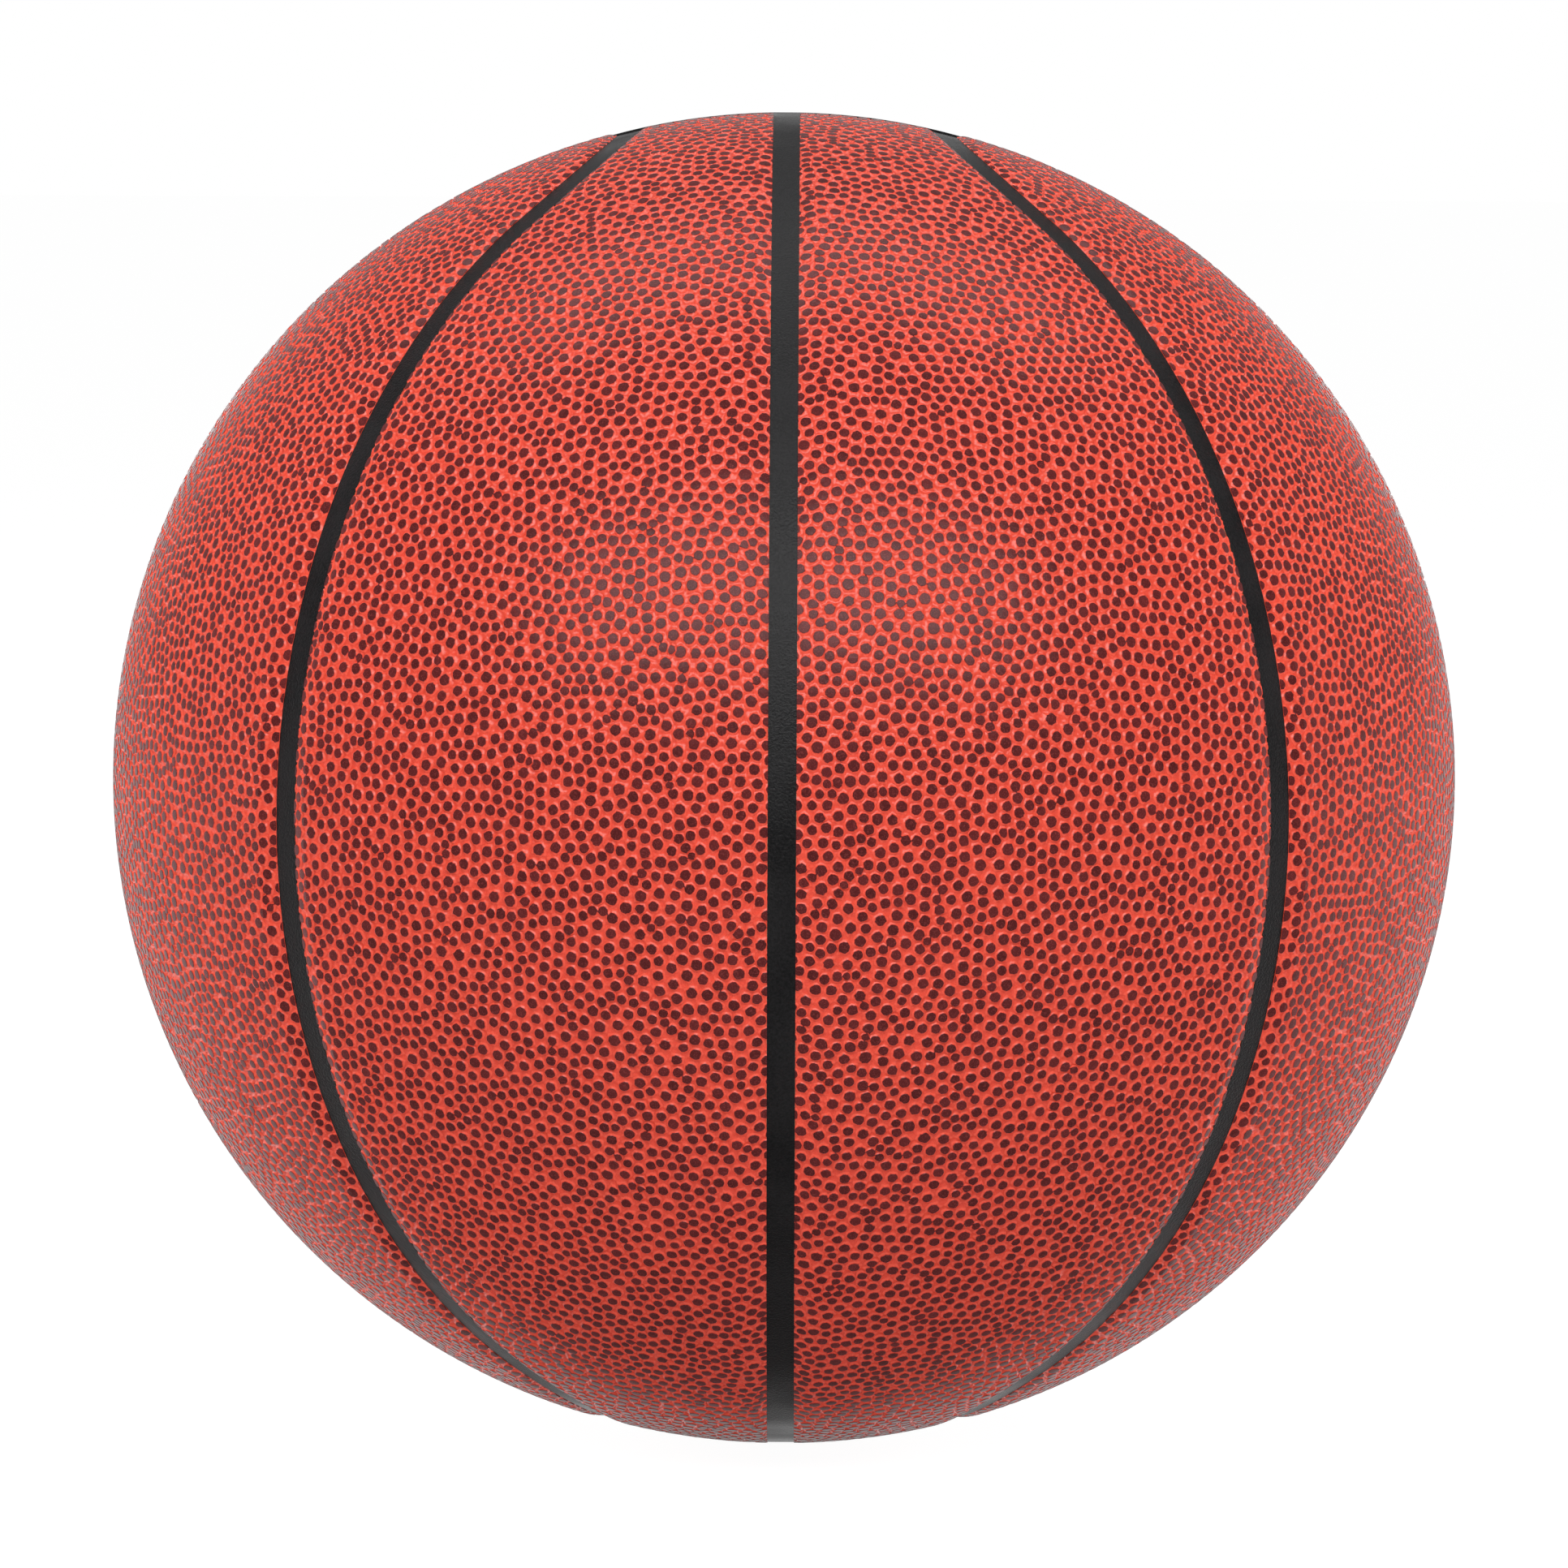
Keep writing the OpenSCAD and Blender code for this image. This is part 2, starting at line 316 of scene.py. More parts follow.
# %% Rings round every pebble
PEBBLE_R = 0.84
SLOPE_WIDTH = 0.32
ROOM_POWER = 0.4
UNEVEN = 0.05
SMALLEST, LARGEST = 0.88, 1.12
HALF_GAP = 0.14
CORNER_REACH = 1.02
CORNER_STOP, CORNER_GAP = 0.9, 0.1
FOOT_STOP = 0.95
NECK_SHARE = 0.35
NECK_REACH = 1.95
NECK_RIM = 0.42
NECK_SAG = 0.05


def pebbled_surface(unit, triangles, rng):
    """Points, triangles and two values per point: the level, which is 0 in a pebble's middle, 1 on its
    rim and 2 in the web, and the pebble's own tone from 0 to 1."""
    count = len(unit)
    start = unit[triangles]
    to_next, next_far = heading(start, np.roll(start, -1, axis=1))
    to_last, last_far = heading(start, np.roll(start, -2, axis=1))
    to_centre, centre_far = heading(start, start.mean(axis=1, keepdims=True))

    # Room round a pebble, the mean distance to its neighbours, sets a part of its size
    room, uses = np.zeros(count), np.zeros(count)
    np.add.at(room, triangles, next_far)
    np.add.at(uses, triangles, 1)
    room /= np.maximum(uses, 1)
    own = rng.normal(1, UNEVEN, count).clip(SMALLEST, LARGEST)
    size = PEBBLE_R * (room / np.median(room)) ** ROOM_POWER * own
    tone = rng.random(count)

    # A rim point for every neighbour, and a middle for every edge
    keys = [triangles * count + np.roll(triangles, -turn, axis=1) for turn in (1, 2)]
    pairs, where, back = np.unique(np.stack(keys), return_index=True, return_inverse=True)
    back = back.reshape(2, -1, 3)
    pair_way = np.stack([to_next, to_last]).reshape(-1, 3)[where]
    pair_far = np.stack([next_far, last_far]).ravel()[where]
    pair_from, pair_to = pairs // count, pairs % count
    low, high = np.minimum(pair_from, pair_to), np.maximum(pair_from, pair_to)
    edges, edge = np.unique(low * count + high, return_inverse=True)
    edge_far = np.zeros(len(edges))
    edge_far[edge] = pair_far
    joined = (rng.random(len(edges)) < NECK_SHARE) & (edge_far < NECK_REACH)
    rim = np.minimum(size[pair_from] * rng.normal(1, UNEVEN, len(pairs)), pair_far / 2 - HALF_GAP)
    rim = np.where(joined[edge], pair_far * NECK_RIM, rim)
    # A rim point towards every triangle's centre, and the foot of the slope under it
    corner_from, corner_far = triangles.ravel(), centre_far.ravel()
    corner_way = to_centre.reshape(-1, 3)
    corner_size = size[corner_from] * rng.normal(CORNER_REACH, UNEVEN, len(corner_from))
    corner_rim = np.minimum(corner_size, corner_far * CORNER_STOP - CORNER_GAP)
    corner_foot = np.minimum(corner_rim + SLOPE_WIDTH, corner_far * FOOT_STOP)

    between = unit[edges // count] + unit[edges % count]
    parts = [
        (unit * cover_radius(unit)[:, None], np.zeros(count), tone),
        (stepped(unit[pair_from], pair_way, rim, 0), np.ones(len(pairs)), tone[pair_from]),
        (stepped(unit[corner_from], corner_way, corner_rim, 0), np.ones(len(corner_from)),
         tone[corner_from]),
        (lowered(between, np.where(joined, NECK_SAG, 1)), np.where(joined, 1.0, 2.0), tone[edges % count]),
        (stepped(unit[corner_from], corner_way, corner_foot, 1), np.full(len(corner_from), 2.0),
         tone[corner_from]),
    ]
    points, level, tones = (np.concatenate(column) for column in zip(*parts))
    starts = np.cumsum([0] + [len(part[0]) for part in parts])

    corner = np.arange(triangles.size).reshape(triangles.shape)
    rim_next, rim_last = starts[1] + back[0], starts[1] + back[1]
    rim_corner, foot_corner = starts[2] + corner, starts[4] + corner
    mid_next, mid_last = starts[3] + edge[back[0]], starts[3] + edge[back[1]]
    faces = [
        (triangles, rim_next, rim_corner), (triangles, rim_corner, rim_last),
        (mid_next, foot_corner, rim_corner), (mid_next, rim_corner, rim_next),
        (foot_corner, mid_last, rim_last), (foot_corner, rim_last, rim_corner),
        (mid_next, np.roll(foot_corner, -1, axis=1), foot_corner),
    ]
    faces = [np.stack(face, axis=-1).reshape(-1, 3) for face in faces] + [foot_corner]
    return points, np.concatenate(faces), np.stack([level, tones], axis=1)


# %% [markdown]
# ## Cutting the sheet
#
# A panel is cut from the sheet with a straight knife, right through the pebbles. Cutting a triangle mesh
# where a field is zero needs no boolean: a triangle with one corner inside keeps a smaller triangle, one
# with two corners inside keeps a quad, and the new points on shared edges are shared too.

# %% Knife
def cut(points, triangles, values, inside):
    """Keeps what lies where inside is positive. A new point on an edge from p to q stands at the share
    f(p) / (f(p) - f(q)) of the way."""
    keep = inside > 0
    kept = keep[triangles].sum(1)
    new_triangles = [triangles[kept == 3]]
    halves = []
    for wanted in (1, 2):
        some = triangles[kept == wanted]
        odd = keep[some] if wanted == 1 else ~keep[some]
        turn = (odd.argmax(1)[:, None] + np.arange(3)) % 3
        halves.append(np.take_along_axis(some, turn, axis=1))
    crossing = np.concatenate([np.concatenate([h[:, [0, 1]], h[:, [0, 2]]]) for h in halves])
    ends = np.sort(crossing, axis=1)
    keys, where, back = np.unique(
        ends[:, 0] * len(points) + ends[:, 1], return_index=True, return_inverse=True)
    p, q = ends[where].T
    share = (inside[p] / (inside[p] - inside[q]))[:, None]
    points = np.concatenate([points, points[p] + share * (points[q] - points[p])])
    values = np.concatenate([values, values[p] + share * (values[q] - values[p])])
    born = back + len(inside)
    ones, twos = (len(half) for half in halves)
    one_b, one_c, two_b, two_c = np.split(born, np.cumsum([ones, ones, twos]))
    new_triangles.append(np.stack([halves[0][:, 0], one_b, one_c], 1))
    new_triangles.append(np.stack([two_b, halves[1][:, 1], halves[1][:, 2]], 1))
    new_triangles.append(np.stack([two_b, halves[1][:, 2], two_c], 1))
    triangles = np.concatenate(new_triangles)
    used, packed = np.unique(triangles, return_inverse=True)
    return points[used], packed.reshape(-1, 3), values[used]


def border(triangles, count):
    """Directed edges that have no partner, each with the triangle's own direction."""
    edges = edges_of(triangles)
    keys = edges[:, 0] * count + edges[:, 1]
    partners = edges[:, 1] * count + edges[:, 0]
    return edges[~np.isin(keys, partners)]


# %% [markdown]
# ## Closing the panel
#
# The cut sheet is still a skin without thickness. Walls go down from its border to the foam, and a plain
# inner face closes the panel, so that it is a real solid. That face lies on the foam, where no one sees
# it, so a few points are enough to keep it round.

# %% Walls and inner face
INNER_SPOTS = 3000
# Half a step back, so that the first point of the inner spiral stands at the angle 0
INNER_START = -(3 - sqrt(5)) * pi / 2
INNER_MARGIN = 3
CUT_LEVEL = 3.0


def close_panel(points, triangles, values, middle, cap, valve):
    """Adds the walls down to the foam and the inner face. The inner face is a Delaunay mesh of the
    border and a few points inside it. All of it gets the level 3, so that the material can tell the
    cut sheet from its outer face."""
    edges = border(triangles, len(points))
    rim, packed = np.unique(edges, return_inverse=True)
    packed = packed.reshape(-1, 2)
    unit = points[rim] / np.linalg.norm(points[rim], axis=1)[:, None]
    spiral = even_spiral(INNER_SPOTS, INNER_START)
    spiral = spiral[panel_fields(spiral * FOAM_R, cap, valve).min(1) > INNER_MARGIN]
    inner = np.concatenate([unit, spiral])
    faces = triangulate(inner, middle, [tuple(e) for e in packed.tolist()])
    if valve:
        # A face in the hole has all its corners on the hole's rim and runs against the rim's direction
        across = np.linalg.norm(np.cross(inner, VALVE_AXIS), axis=1) * FOAM_R
        on_rim = (across < VALVE_HOLE_R + 0.5) & (inner @ VALVE_AXIS > 0)
        own = faces * len(inner) + np.roll(faces, -1, axis=1)
        along = np.isin(own, packed[:, 0] * len(inner) + packed[:, 1]).any(axis=1)
        faces = faces[along | ~on_rim[faces].all(axis=1)]
    shift = len(points)
    a, b = edges.T
    c, d = packed.T + shift
    walls = np.concatenate([np.stack([b, a, c], 1), np.stack([b, c, d], 1)])
    points = np.concatenate([points, inner * FOAM_R])
    values = np.concatenate([values, np.tile([CUT_LEVEL, 0.5], (len(inner), 1))])
    return points, np.concatenate([triangles, walls, faces[:, ::-1] + shift]), values


# %% [markdown]
# ## From arrays to a mesh
#
# Blender takes a mesh as whole arrays, one call for each kind of value, which is much faster than a loop
# over points. Shading does a part of the form: a real pebble's top is flat and its slope is rounded, so
# only the slopes and the web between them are smoothed.

# %% Mesh of a panel
def put_mesh(name, points, triangles, values):
    """Puts whole arrays into a new mesh object, in metres. The slopes and the web are smooth, and the
    pebbles' tops and the walls are flat."""
    highest = values[triangles, 0].max(axis=1)
    mesh = bpy.data.meshes.new(name)
    mesh.vertices.add(len(points))
    mesh.vertices.foreach_set("co", (points * MM).astype(np.float32).ravel())
    mesh.loops.add(triangles.size)
    mesh.loops.foreach_set("vertex_index", triangles.astype(np.int32).ravel())
    mesh.polygons.add(len(triangles))
    mesh.polygons.foreach_set("loop_start", np.arange(0, triangles.size, 3, dtype=np.int32))
    mesh.polygons.foreach_set("use_smooth", (highest > 1) & (highest <= 2))
    mesh.update(calc_edges=True)
    # A pebble's top ends in a crease, so that the slope round it catches the light with its full tilt
    ends = np.zeros(2 * len(mesh.edges), np.int32)
    mesh.edges.foreach_get("vertices", ends)
    crease = mesh.attributes.new("sharp_edge", "BOOLEAN", "EDGE")
    crease.data.foreach_set("value", values[ends, 0].reshape(-1, 2).max(axis=1) <= 1)
    for column, label in enumerate(("level", "tone")):
        layer = mesh.attributes.new(label, "FLOAT", "POINT")
        layer.data.foreach_set("value", values[:, column].astype(np.float32))
    piece = bpy.data.objects.new(name, mesh)
    bpy.context.scene.collection.objects.link(piece)
    return piece


# %% [markdown]
# ## The eight panels
#
# Every panel is made in the same quarter and mirrored into its place, but with its own random numbers, so
# no pattern repeats across a seam. Mirroring once turns the triangles inside out, so their order is
# reversed then.

# %% Band and cap panels
FIRST_SEED = 40
covers = []


def make_panel(seed, kind, depth_word, side_word):
    """A sheet of pebbles, cut along the panel's borders one after another, closed, and mirrored into
    its place."""
    cap = kind == "cap"
    valve = (kind, depth_word, side_word) == ("band", "back", "right")
    middle = np.array(PANEL_MIDDLE[kind])
    middle /= np.linalg.norm(middle)
    unit, triangles, rng = scatter(seed, cap, middle)
    points, triangles, values = pebbled_surface(unit, triangles, rng)
    for column in range(panel_fields(points[:1], cap, valve).shape[1]):
        inside = panel_fields(points, cap, valve)[:, column]
        points, triangles, values = cut(points, triangles, values, inside)
    points, triangles, values = close_panel(points, triangles, values, middle, cap, valve)
    mirror = np.array([1 if side_word == "right" else -1, 1 if depth_word == "back" else -1, 1])
    points = points * mirror
    if mirror.prod() < 0:
        triangles = triangles[:, ::-1]
    name = f"cover_{kind}_{depth_word}_{side_word}"
    piece = put_mesh(name, points, triangles, values)
    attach(piece, "root")
    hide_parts(f"panel_{kind}_{depth_word}_{side_word}")
    loose = len(border(triangles, len(points)))
    print(f"{name}: {len(unit)} pebbles with margin, {len(triangles)} triangles, {loose} open edges")
    covers.append(piece)


places = [(kind, depth_word, side_word) for kind in ("band", "cap")
          for depth_word in ("front", "back") for side_word in ("right", "left")]
for number, place in enumerate(places):
    make_panel(FIRST_SEED + number, *place)

# %% [markdown]
# ## The strips that cross at the poles
#
# The strips are laid into the valleys by hand and pressed flush in the mould. The two rings bulge a
# little where they meet at the poles, so their outer face isn't quite round. The side ring is in two
# halves, which end on the centre ring. A strip is a bar of four corners carried along an arc.

# %% Centre ring and side ring
STRIP_IN_R = 117.0
STRIP_R = 118.55
STRIP_BULGE = 0.38
RING_STEPS, HALF_STEPS = 512, 257


def make_strip(name, node, turn, first, last, count):
    """A bar along an arc in an upright plane, turned about the upright axis. At the angle a from the
    equator its outer radius is R + bulge near_pole(sin a). A whole turn joins up with itself."""
    closed = last - first > 1.9 * pi
    angle = np.linspace(first, last, count, endpoint=not closed)
    outer = STRIP_R + STRIP_BULGE * near_pole(np.sin(angle))
    rings = []
    for radius, across in ((STRIP_IN_R, -1), (STRIP_IN_R, 1), (outer, 1), (outer, -1)):
        # All four corners lie on spheres, so the circles that they run along are a little smaller
        flat = np.sqrt(np.square(radius) - HALF_STRIP ** 2)
        edge = np.full(count, across * HALF_STRIP)
        rings.append(np.stack([edge, flat * np.cos(angle), flat * np.sin(angle)], 1))
    points = np.stack(rings, axis=1).reshape(-1, 3)
    step = np.arange(count if closed else count - 1)[:, None, None]
    side = np.arange(4)[None, :, None]
    quad = np.array([[0, 0], [0, 1], [1, 1], [1, 0]])
    faces = (step + quad[:, 0]) % count * 4 + (side + quad[:, 1]) % 4
    faces = faces.reshape(-1, 4).tolist()
    if not closed:
        end = 4 * count
        faces += [[3, 2, 1, 0], [end - 4, end - 3, end - 2, end - 1]]
    turned = np.array([[cos(turn), sin(turn), 0], [-sin(turn), cos(turn), 0], [0, 0, 1]])
    points = points @ turned
    mesh = bpy.data.meshes.new(name)
    mesh.from_pydata((points * MM).tolist(), [], faces)
    strip = bpy.data.objects.new(name, mesh)
    bpy.context.scene.collection.objects.link(strip)
    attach(strip, "root")
    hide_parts(node)
    print(f"{name}: {len(faces)} faces")
    return strip


END = pi / 2 - HALF_STRIP / STRIP_R
strips = [make_strip("strip_centre_ring", "rib_centre_ring", 0, 0, 2 * pi, RING_STEPS),
          make_strip("strip_side_right", "rib_side_right", -pi / 2, -END, END, HALF_STEPS),
          make_strip("strip_side_left", "rib_side_left", pi / 2, -END, END, HALF_STEPS)]

# %% [markdown]
# ## Shader arithmetic
#
# A material is a small sum of patterns. Wrapping a socket in a class with the usual operators lets those
# sums be written as sums, and one method makes every other node from its type, its settings and its
# sockets.

# %% Sockets that can be added
# Place of the Object output among those of a Texture Coordinate node
OBJECT = 3


class Field:
    """A number, colour or vector that a node gives out."""

    def __init__(self, shade, socket):
        self.shade, self.socket = shade, socket

    def maths(self, operation, *others):
        """A Math node with this value first and the others after it."""
        return self.shade.add("ShaderNodeMath", {"operation": operation}, self, *others)

    def __add__(self, other):
        return self.maths("ADD", other)

    def __mul__(self, other):
        return self.maths("MULTIPLY", other)

    def __sub__(self, other):
        return self.maths("SUBTRACT", other)

    def __rsub__(self, other):
        return self.shade.add("ShaderNodeMath", {"operation": "SUBTRACT"}, other, self)

    __radd__, __rmul__ = __add__, __mul__


class Shade:
    """The nodes of a new material, or of the tree that is given."""

    def __init__(self, name, tree=None):
        if tree is None:
            self.material = bpy.data.materials.new(name)
            self.material.use_nodes = True
            tree = self.material.node_tree
        self.tree = tree
        tree.nodes.clear()

    def add(self, kind, settings=None, *values, out=0, **named):
        """Makes a node and gives back one output. The settings come first, then the input sockets by
        place, or by name with _ for a blank."""
        node = self.tree.nodes.new(kind)
        for key, value in (settings or {}).items():
            setattr(node, key, value)
        pairs = [(node.inputs[k], v) for k, v in enumerate(values) if v is not None]
        pairs += [(node.inputs[key.replace("_", " ")], value) for key, value in named.items()]
        for socket, value in pairs:
            if isinstance(value, Field):
                self.tree.links.new(value.socket, socket)
            else:
                socket.default_value = value
        return Field(self, node.outputs[out]) if len(node.outputs) else None

    def step(self, value, low, high, floor=0.0, ceiling=1.0):
        """Smooth change from floor to ceiling as the value goes from low to high."""
        smooth = {"interpolation_type": "SMOOTHSTEP"}
        return self.add("ShaderNodeMapRange", smooth, value, low, high, floor, ceiling)

    def mix(self, share, a, b):
        """Colour a where the share is 0, and b where it is 1."""
        blanks = [None] * 5
        return self.add("ShaderNodeMix", {"data_type": "RGBA"}, share, *blanks, a, b, out=2)

    def noise(self, size_mm, detail=2.0, rough=0.5):
        """Cloudy pattern on Object coordinates with spots of about the given size."""
        place = self.add("ShaderNodeTexCoord", out=OBJECT)
        return self.add("ShaderNodeTexNoise", None, place, Scale=1 / (size_mm * MM), Detail=detail,
                        Roughness=rough)

    def value(self, name):
        """The number of that name that every point of the mesh carries."""
        return self.add("ShaderNodeAttribute", {"attribute_name": name}, out=2)

    def finish(self, **sockets):
        """Ends the material in one Principled BSDF with the given sockets."""
        surface = self.add("ShaderNodeBsdfPrincipled", None, **sockets)
        self.add("ShaderNodeOutputMaterial", None, surface)
        return self.material


def srgb(r, g, b):
    """Linear colour of an 8-bit screen colour: (c + 0.055) / 1.055 to the power of 2.4 above 0.04."""
    channels = [v / 255 for v in (r, g, b)]
    return (*[c / 12.92 if c <= 0.04045 else ((c + 0.055) / 1.055) ** 2.4 for c in channels], 1.0)


# %% [markdown]
# ## The pebbled cover
#
# The cover is moulded in one orange red, and the tops of the pebbles are rolled over with a dark maroon,
# so the colour follows the level that every point of the mesh carries. A little noise on the level makes
# the edge of the dark film ragged. Fine grain, much smaller than a pebble, is too small for geometry and
# comes from a bump.

# %% Cover material
def cover_material():
    """The dark film covers a pebble's top and ends just past its rim, where the level with its noise is
    1.05 to 1.25. Below it lies the orange red of the web."""
    s = Shade("pebbled_cover")
    level, tone = s.value("level"), s.value("tone")
    grain = s.noise(0.22, 3.0, 0.6)
    ragged = s.noise(0.5, 1.0)
    cloud = s.noise(28, 2.0)
    film = 1 - s.step(level + (ragged - 0.5) * 0.2, 1.05, 1.25)
    dark = s.mix(tone, srgb(67, 18, 19), srgb(85, 26, 27))
    dark = s.mix(s.step(grain, 0.45, 0.8), dark, srgb(122, 54, 52))
    web = s.mix(s.step(grain, 0.3, 0.7), srgb(206, 63, 45), srgb(217, 75, 55))
    web = s.mix(s.step(cloud, 0.35, 0.7, 0.0, 0.35), web, srgb(208, 66, 49))
    # The slopes are painted a little paler than the web, a painted highlight that rings every pebble, and a
    # cut edge shows the sheet's plain backing
    painted_slope_highlight = s.step(level, 1.25, 1.55) * (1 - s.step(level, 1.7, 1.98))
    web = s.mix(painted_slope_highlight * 0.15, web, srgb(255, 130, 104))
    edge = s.step(level, 2.2, 2.6)
    colour = s.mix(edge, s.mix(film, web, dark), srgb(196, 150, 112))
    rough = s.step(film, 0, 1, 0.26, 0.31)
    bump = s.add("ShaderNodeBump", None, Strength=0.12, Distance=0.03 * MM, Height=grain)
    return s.finish(Base_Color=colour, Roughness=rough, Normal=bump, Specular_IOR_Level=0.16,
                    Coat_Weight=0.42 - film * 0.4, Coat_Roughness=0.24,
                    Sheen_Weight=0.08, Sheen_Roughness=0.3)


cover = cover_material()
for piece in covers:
    piece.data.materials.append(cover)
print("nodes in the cover's material:", len(cover.node_tree.nodes))

# %% [markdown]
# ## Rubber, foam and thread
#
# The strips are black rubber with a fine leather grain pressed in. The layers under the cover can't be
# seen on a whole ball, but they are real pieces of the part, so each gets its own finish: closed-cell
# foam, rubber, wound nylon thread and butyl. The rubbers differ only in colour, polish and grain, so one
# function makes them all.

# %% Materials of the layers
def rubber(name, low, high, rough, grain_mm, depth_mm):
    """Rubber: colour and roughness drift with the grain, which also gives the bump."""
    s = Shade(name)
    fine = s.noise(grain_mm, 3.0, 0.6)
    patch = s.noise(grain_mm * 40, 2.0)
    both = s.step(fine * 0.6 + patch * 0.4, 0.3, 0.7)
    bump = s.add("ShaderNodeBump", None, Strength=0.9, Distance=depth_mm * MM, Height=fine)
    return s.finish(
        Base_Color=s.mix(both, low, high), Roughness=s.step(patch, 0.3, 0.7, rough - 0.1, rough + 0.08),
        Normal=bump, Specular_IOR_Level=0.18)


def foam():
    """Closed cells half a millimetre across. Each is lower in its middle, by the distance in a Voronoi
    pattern,
    and painted darker there: painted shade in the hollow of each cell."""
    s = Shade("foam")
    place = s.add("ShaderNodeTexCoord", out=OBJECT)
    cells = s.add("ShaderNodeTexVoronoi", None, place, Scale=1 / (0.5 * MM))
    bump = s.add("ShaderNodeBump", None, Strength=0.5, Distance=0.1 * MM, Height=cells)
    colour = s.mix(s.step(cells, 0.1, 0.6), srgb(214, 196, 150), srgb(240, 226, 188))
    return s.finish(Base_Color=colour, Roughness=0.9, Normal=bump)


def thread():
    """Waves along the three axes, which repeat 20 / (2 pi) times in 4 mm, so about 1.3 mm from crest to
    crest. The highest of them shows, as the strand wound last does."""
    s = Shade("nylon_thread")
    place = s.add("ShaderNodeTexCoord", out=OBJECT)
    waves = [s.add("ShaderNodeTexWave", {"bands_direction": axis}, place, Scale=1 / (4 * MM),
                   Distortion=3.0, out=1) for axis in "XYZ"]
    strands = waves[0].maths("MAXIMUM", waves[1]).maths("MAXIMUM", waves[2])
    bump = s.add("ShaderNodeBump", None, Strength=0.7, Distance=0.2 * MM, Height=strands)
    # The grooves between the strands are painted darker: painted shade where the thread lies low.
    colour = s.mix(strands, srgb(168, 164, 150), srgb(232, 230, 216))
    return s.finish(Base_Color=colour, Roughness=0.55, Normal=bump)


# %% [markdown]
# ## Dressing the frame
#
# The frame's own pieces keep their names, and a name starts with what the piece is, so the start of the
# name picks the finish. The three strips that were made here share the finish of the frame's strips.

# %% A finish for every piece
strip_rubber = rubber("strip_rubber", srgb(8, 8, 9), srgb(31, 30, 31), 0.39, 0.4, 0.16)
finishes = {
    "rib": strip_rubber,
    "foam": foam(),
    "bladder": rubber("butyl_rubber", srgb(30, 30, 32), srgb(48, 48, 52), 0.45, 0.8, 0.02),
    "winding": thread(),
    "carcass": rubber("carcass_rubber", srgb(58, 54, 50), srgb(84, 78, 72), 0.7, 0.6, 0.05),
    "valve_housing": rubber("valve_rubber", srgb(20, 20, 20), srgb(32, 31, 31), 0.5, 0.4, 0.03),
    "valve_core": rubber("plug_rubber", srgb(44, 43, 43), srgb(66, 64, 63), 0.6, 0.3, 0.03),
}
for node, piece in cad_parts.items():
    finish = next((f for word, f in finishes.items() if node.startswith(word)), None)
    if finish is None:
        continue
    if not piece.material_slots:
        piece.data.materials.append(finish)
    piece.material_slots[0].material = finish
for strip in strips:
    strip.data.materials.append(strip_rubber)
print("finishes on the frame's pieces:", len(finishes))

# %% [markdown]
# ## White ground
#
# The photograph is a plain catalogue picture: a white ground and a broad soft light from above and in
# front. The floor looks white to the camera by its own glow, so no lamp has to burn it out, and it still
# takes the ball's shadow and sends soft light up to its underside.

# %% Floor and world
floor_z = min(corner.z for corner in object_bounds())
floor_mesh = bpy.data.meshes.new("floor")
FAR = 12
corners = [(x * FAR, y * FAR, floor_z) for x, y in ((-1, -1), (1, -1), (1, 1), (-1, 1))]
floor_mesh.from_pydata(corners, [], [(0, 1, 2, 3)])
floor = bpy.data.objects.new("floor", floor_mesh)
bpy.context.scene.collection.objects.link(floor)
floor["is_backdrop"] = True


def rays(shade, *kinds):
    """1 for rays of the named kinds, else 0."""
    path = shade.add("ShaderNodeLightPath").socket.node
    seen = 0.0
    for kind in kinds:
        seen = Field(shade, path.outputs[f"Is {kind} Ray"]).maths("MAXIMUM", seen)
    return seen


s = Shade("floor")
lit = s.add("ShaderNodeBsdfDiffuse", None, (0.85, 0.85, 0.85, 1))
# The ball shades the floor in front of it, so in reflections the floor is bright only from where the
# ball stands on backwards. That light glances off the lower rim of the ball's underside
across = s.add("ShaderNodeSeparateXYZ", None, s.add("ShaderNodeTexCoord", out=OBJECT))
behind = Field(s, across.socket.node.outputs["Y"])
WHITE = (1, 1, 1, 1)
seen_as = s.mix(rays(s, "Glossy"), WHITE, s.step(behind, -0.05, -0.03, 0.1, 1.0))
glow = s.add("ShaderNodeEmission", None, seen_as, 1.14)
share = rays(s, "Camera", "Glossy", "Transmission") * 0.85
s.add("ShaderNodeOutputMaterial", None, s.add("ShaderNodeMixShader", None, share, lit, glow))
floor_mesh.materials.append(s.material)

world = bpy.data.worlds.new("studio")
bpy.context.scene.world = world
world.use_nodes = True
s = Shade("", world.node_tree)
soft = s.add("ShaderNodeBackground", None, WHITE, 0.18)
# The white backdrop stands behind the ball; to the sides the studio is dim
way = s.add("ShaderNodeSeparateXYZ", None, s.add("ShaderNodeTexCoord"))
back, high = (Field(s, way.socket.node.outputs[axis]) for axis in "YZ")
backdrop = s.step(back, 0.82, 0.9) * (1 - s.step(high, 0.15, 0.3) * 0.75) + 0.08
sees = rays(s, "Camera", "Transmission").maths("MAXIMUM", rays(s, "Glossy") * backdrop)
bright = s.add("ShaderNodeBackground", None, WHITE, 1.0)
s.add("ShaderNodeOutputWorld", None, s.add("ShaderNodeMixShader", None, sees, soft, bright))
print("height of the floor in m:", round(floor_z, 4))

# %% [markdown]
# ## Lamps
#
# A picture of a glossy ball is made with soft boxes, because each lamp shows in the cover as a patch of its
# own shape. The wide box over the camera gives the light, the one overhead the sheen on the top, and two
# weak ones behind draw the edge. The side boxes light the cap panels and stay out of the reflections.

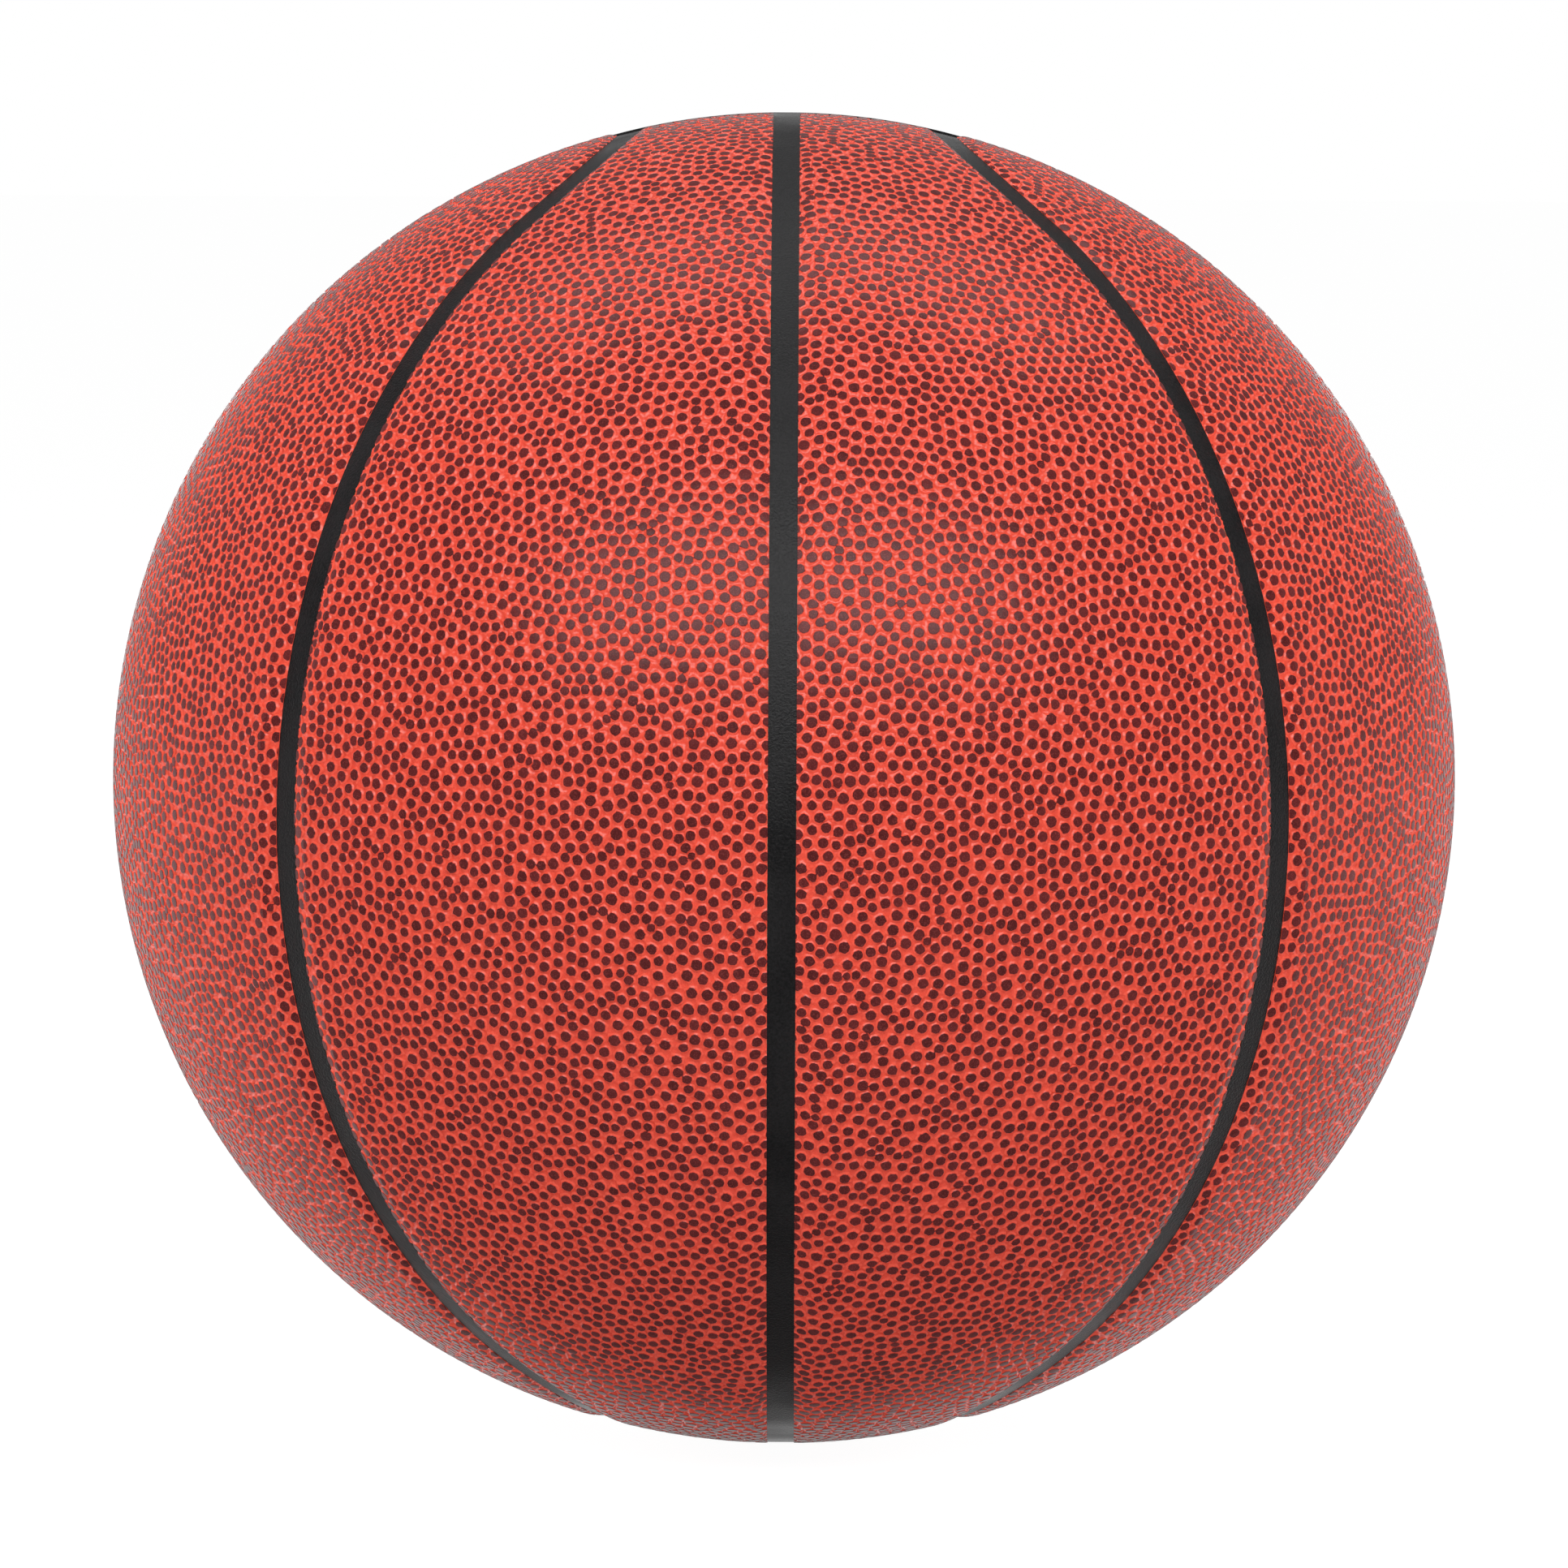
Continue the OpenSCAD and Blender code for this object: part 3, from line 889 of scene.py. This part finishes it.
# %% Soft boxes
def soft_box(name, place, width, height, watts):
    """A soft box at the place in metres, turned to the ball."""
    light = bpy.data.lights.new(name, "AREA")
    light.shape, light.size, light.size_y, light.energy = "RECTANGLE", width, height, watts
    lamp = bpy.data.objects.new(name, light)
    lamp.location = place
    lamp.rotation_euler = (-Vector(place)).to_track_quat("-Z", "Y").to_euler()
    bpy.context.scene.collection.objects.link(lamp)
    print(f"{name} box: {width} by {height} m, {watts} W")
    return lamp


soft_box("overhead", (0, 0.2, 1.2), 1.6, 0.45, 6.5)
soft_box("front", (0, -1.4, 1.05), 2.6, 0.75, 36)
for side in (-1, 1):
    soft_box("side", (side * 1.5, 0.5, 0.1), 1.0, 1.0, 28).visible_glossy = False
    soft_box("rim", (side * 0.46, 1.95, 0.0), 0.28, 0.5, 1.4)

# %% [markdown]
# ## Camera
#
# The seams tell how the ball is turned: the centre strip stands almost upright, and the ball's top leans
# a little towards the camera. Turning the camera round a still ball gives the same picture. The place
# where the side loops cross the outline depends on how near the camera is, and sets the distance.

# %% Camera at the photograph's place
YAW, PITCH, ROLL = radians(-0.15), radians(5.32), radians(0.26)
RADIUS_TO_DISTANCE = 0.085
DISTANCE = BALL_R * MM / RADIUS_TO_DISTANCE
LENS_MM, SENSOR_MM = 180.6, 36
FRAME_PX, DROP_PX = 1932, 8.3
turned = Matrix.Rotation(ROLL, 3, "Y") @ Matrix.Rotation(PITCH, 3, "X") @ Matrix.Rotation(YAW, 3, "Z")
right, forward, up = turned.row
camera_data = bpy.data.cameras.new("camera")
camera_data.lens, camera_data.sensor_width = LENS_MM, SENSOR_MM
camera_data.clip_start, camera_data.clip_end = 0.05, 50
camera = bpy.data.objects.new("camera", camera_data)
drop = DROP_PX / FRAME_PX * SENSOR_MM / LENS_MM * DISTANCE
place = -forward * DISTANCE - up * drop
camera.matrix_world = Matrix((right, up, -forward)).transposed().to_4x4()
camera.matrix_world.translation = place
bpy.context.scene.collection.objects.link(camera)
bpy.context.scene.camera = camera
bpy.context.scene.view_settings.view_transform = "Standard"
print(f"camera {DISTANCE:.3f} m from the ball's centre, {LENS_MM} mm lens")
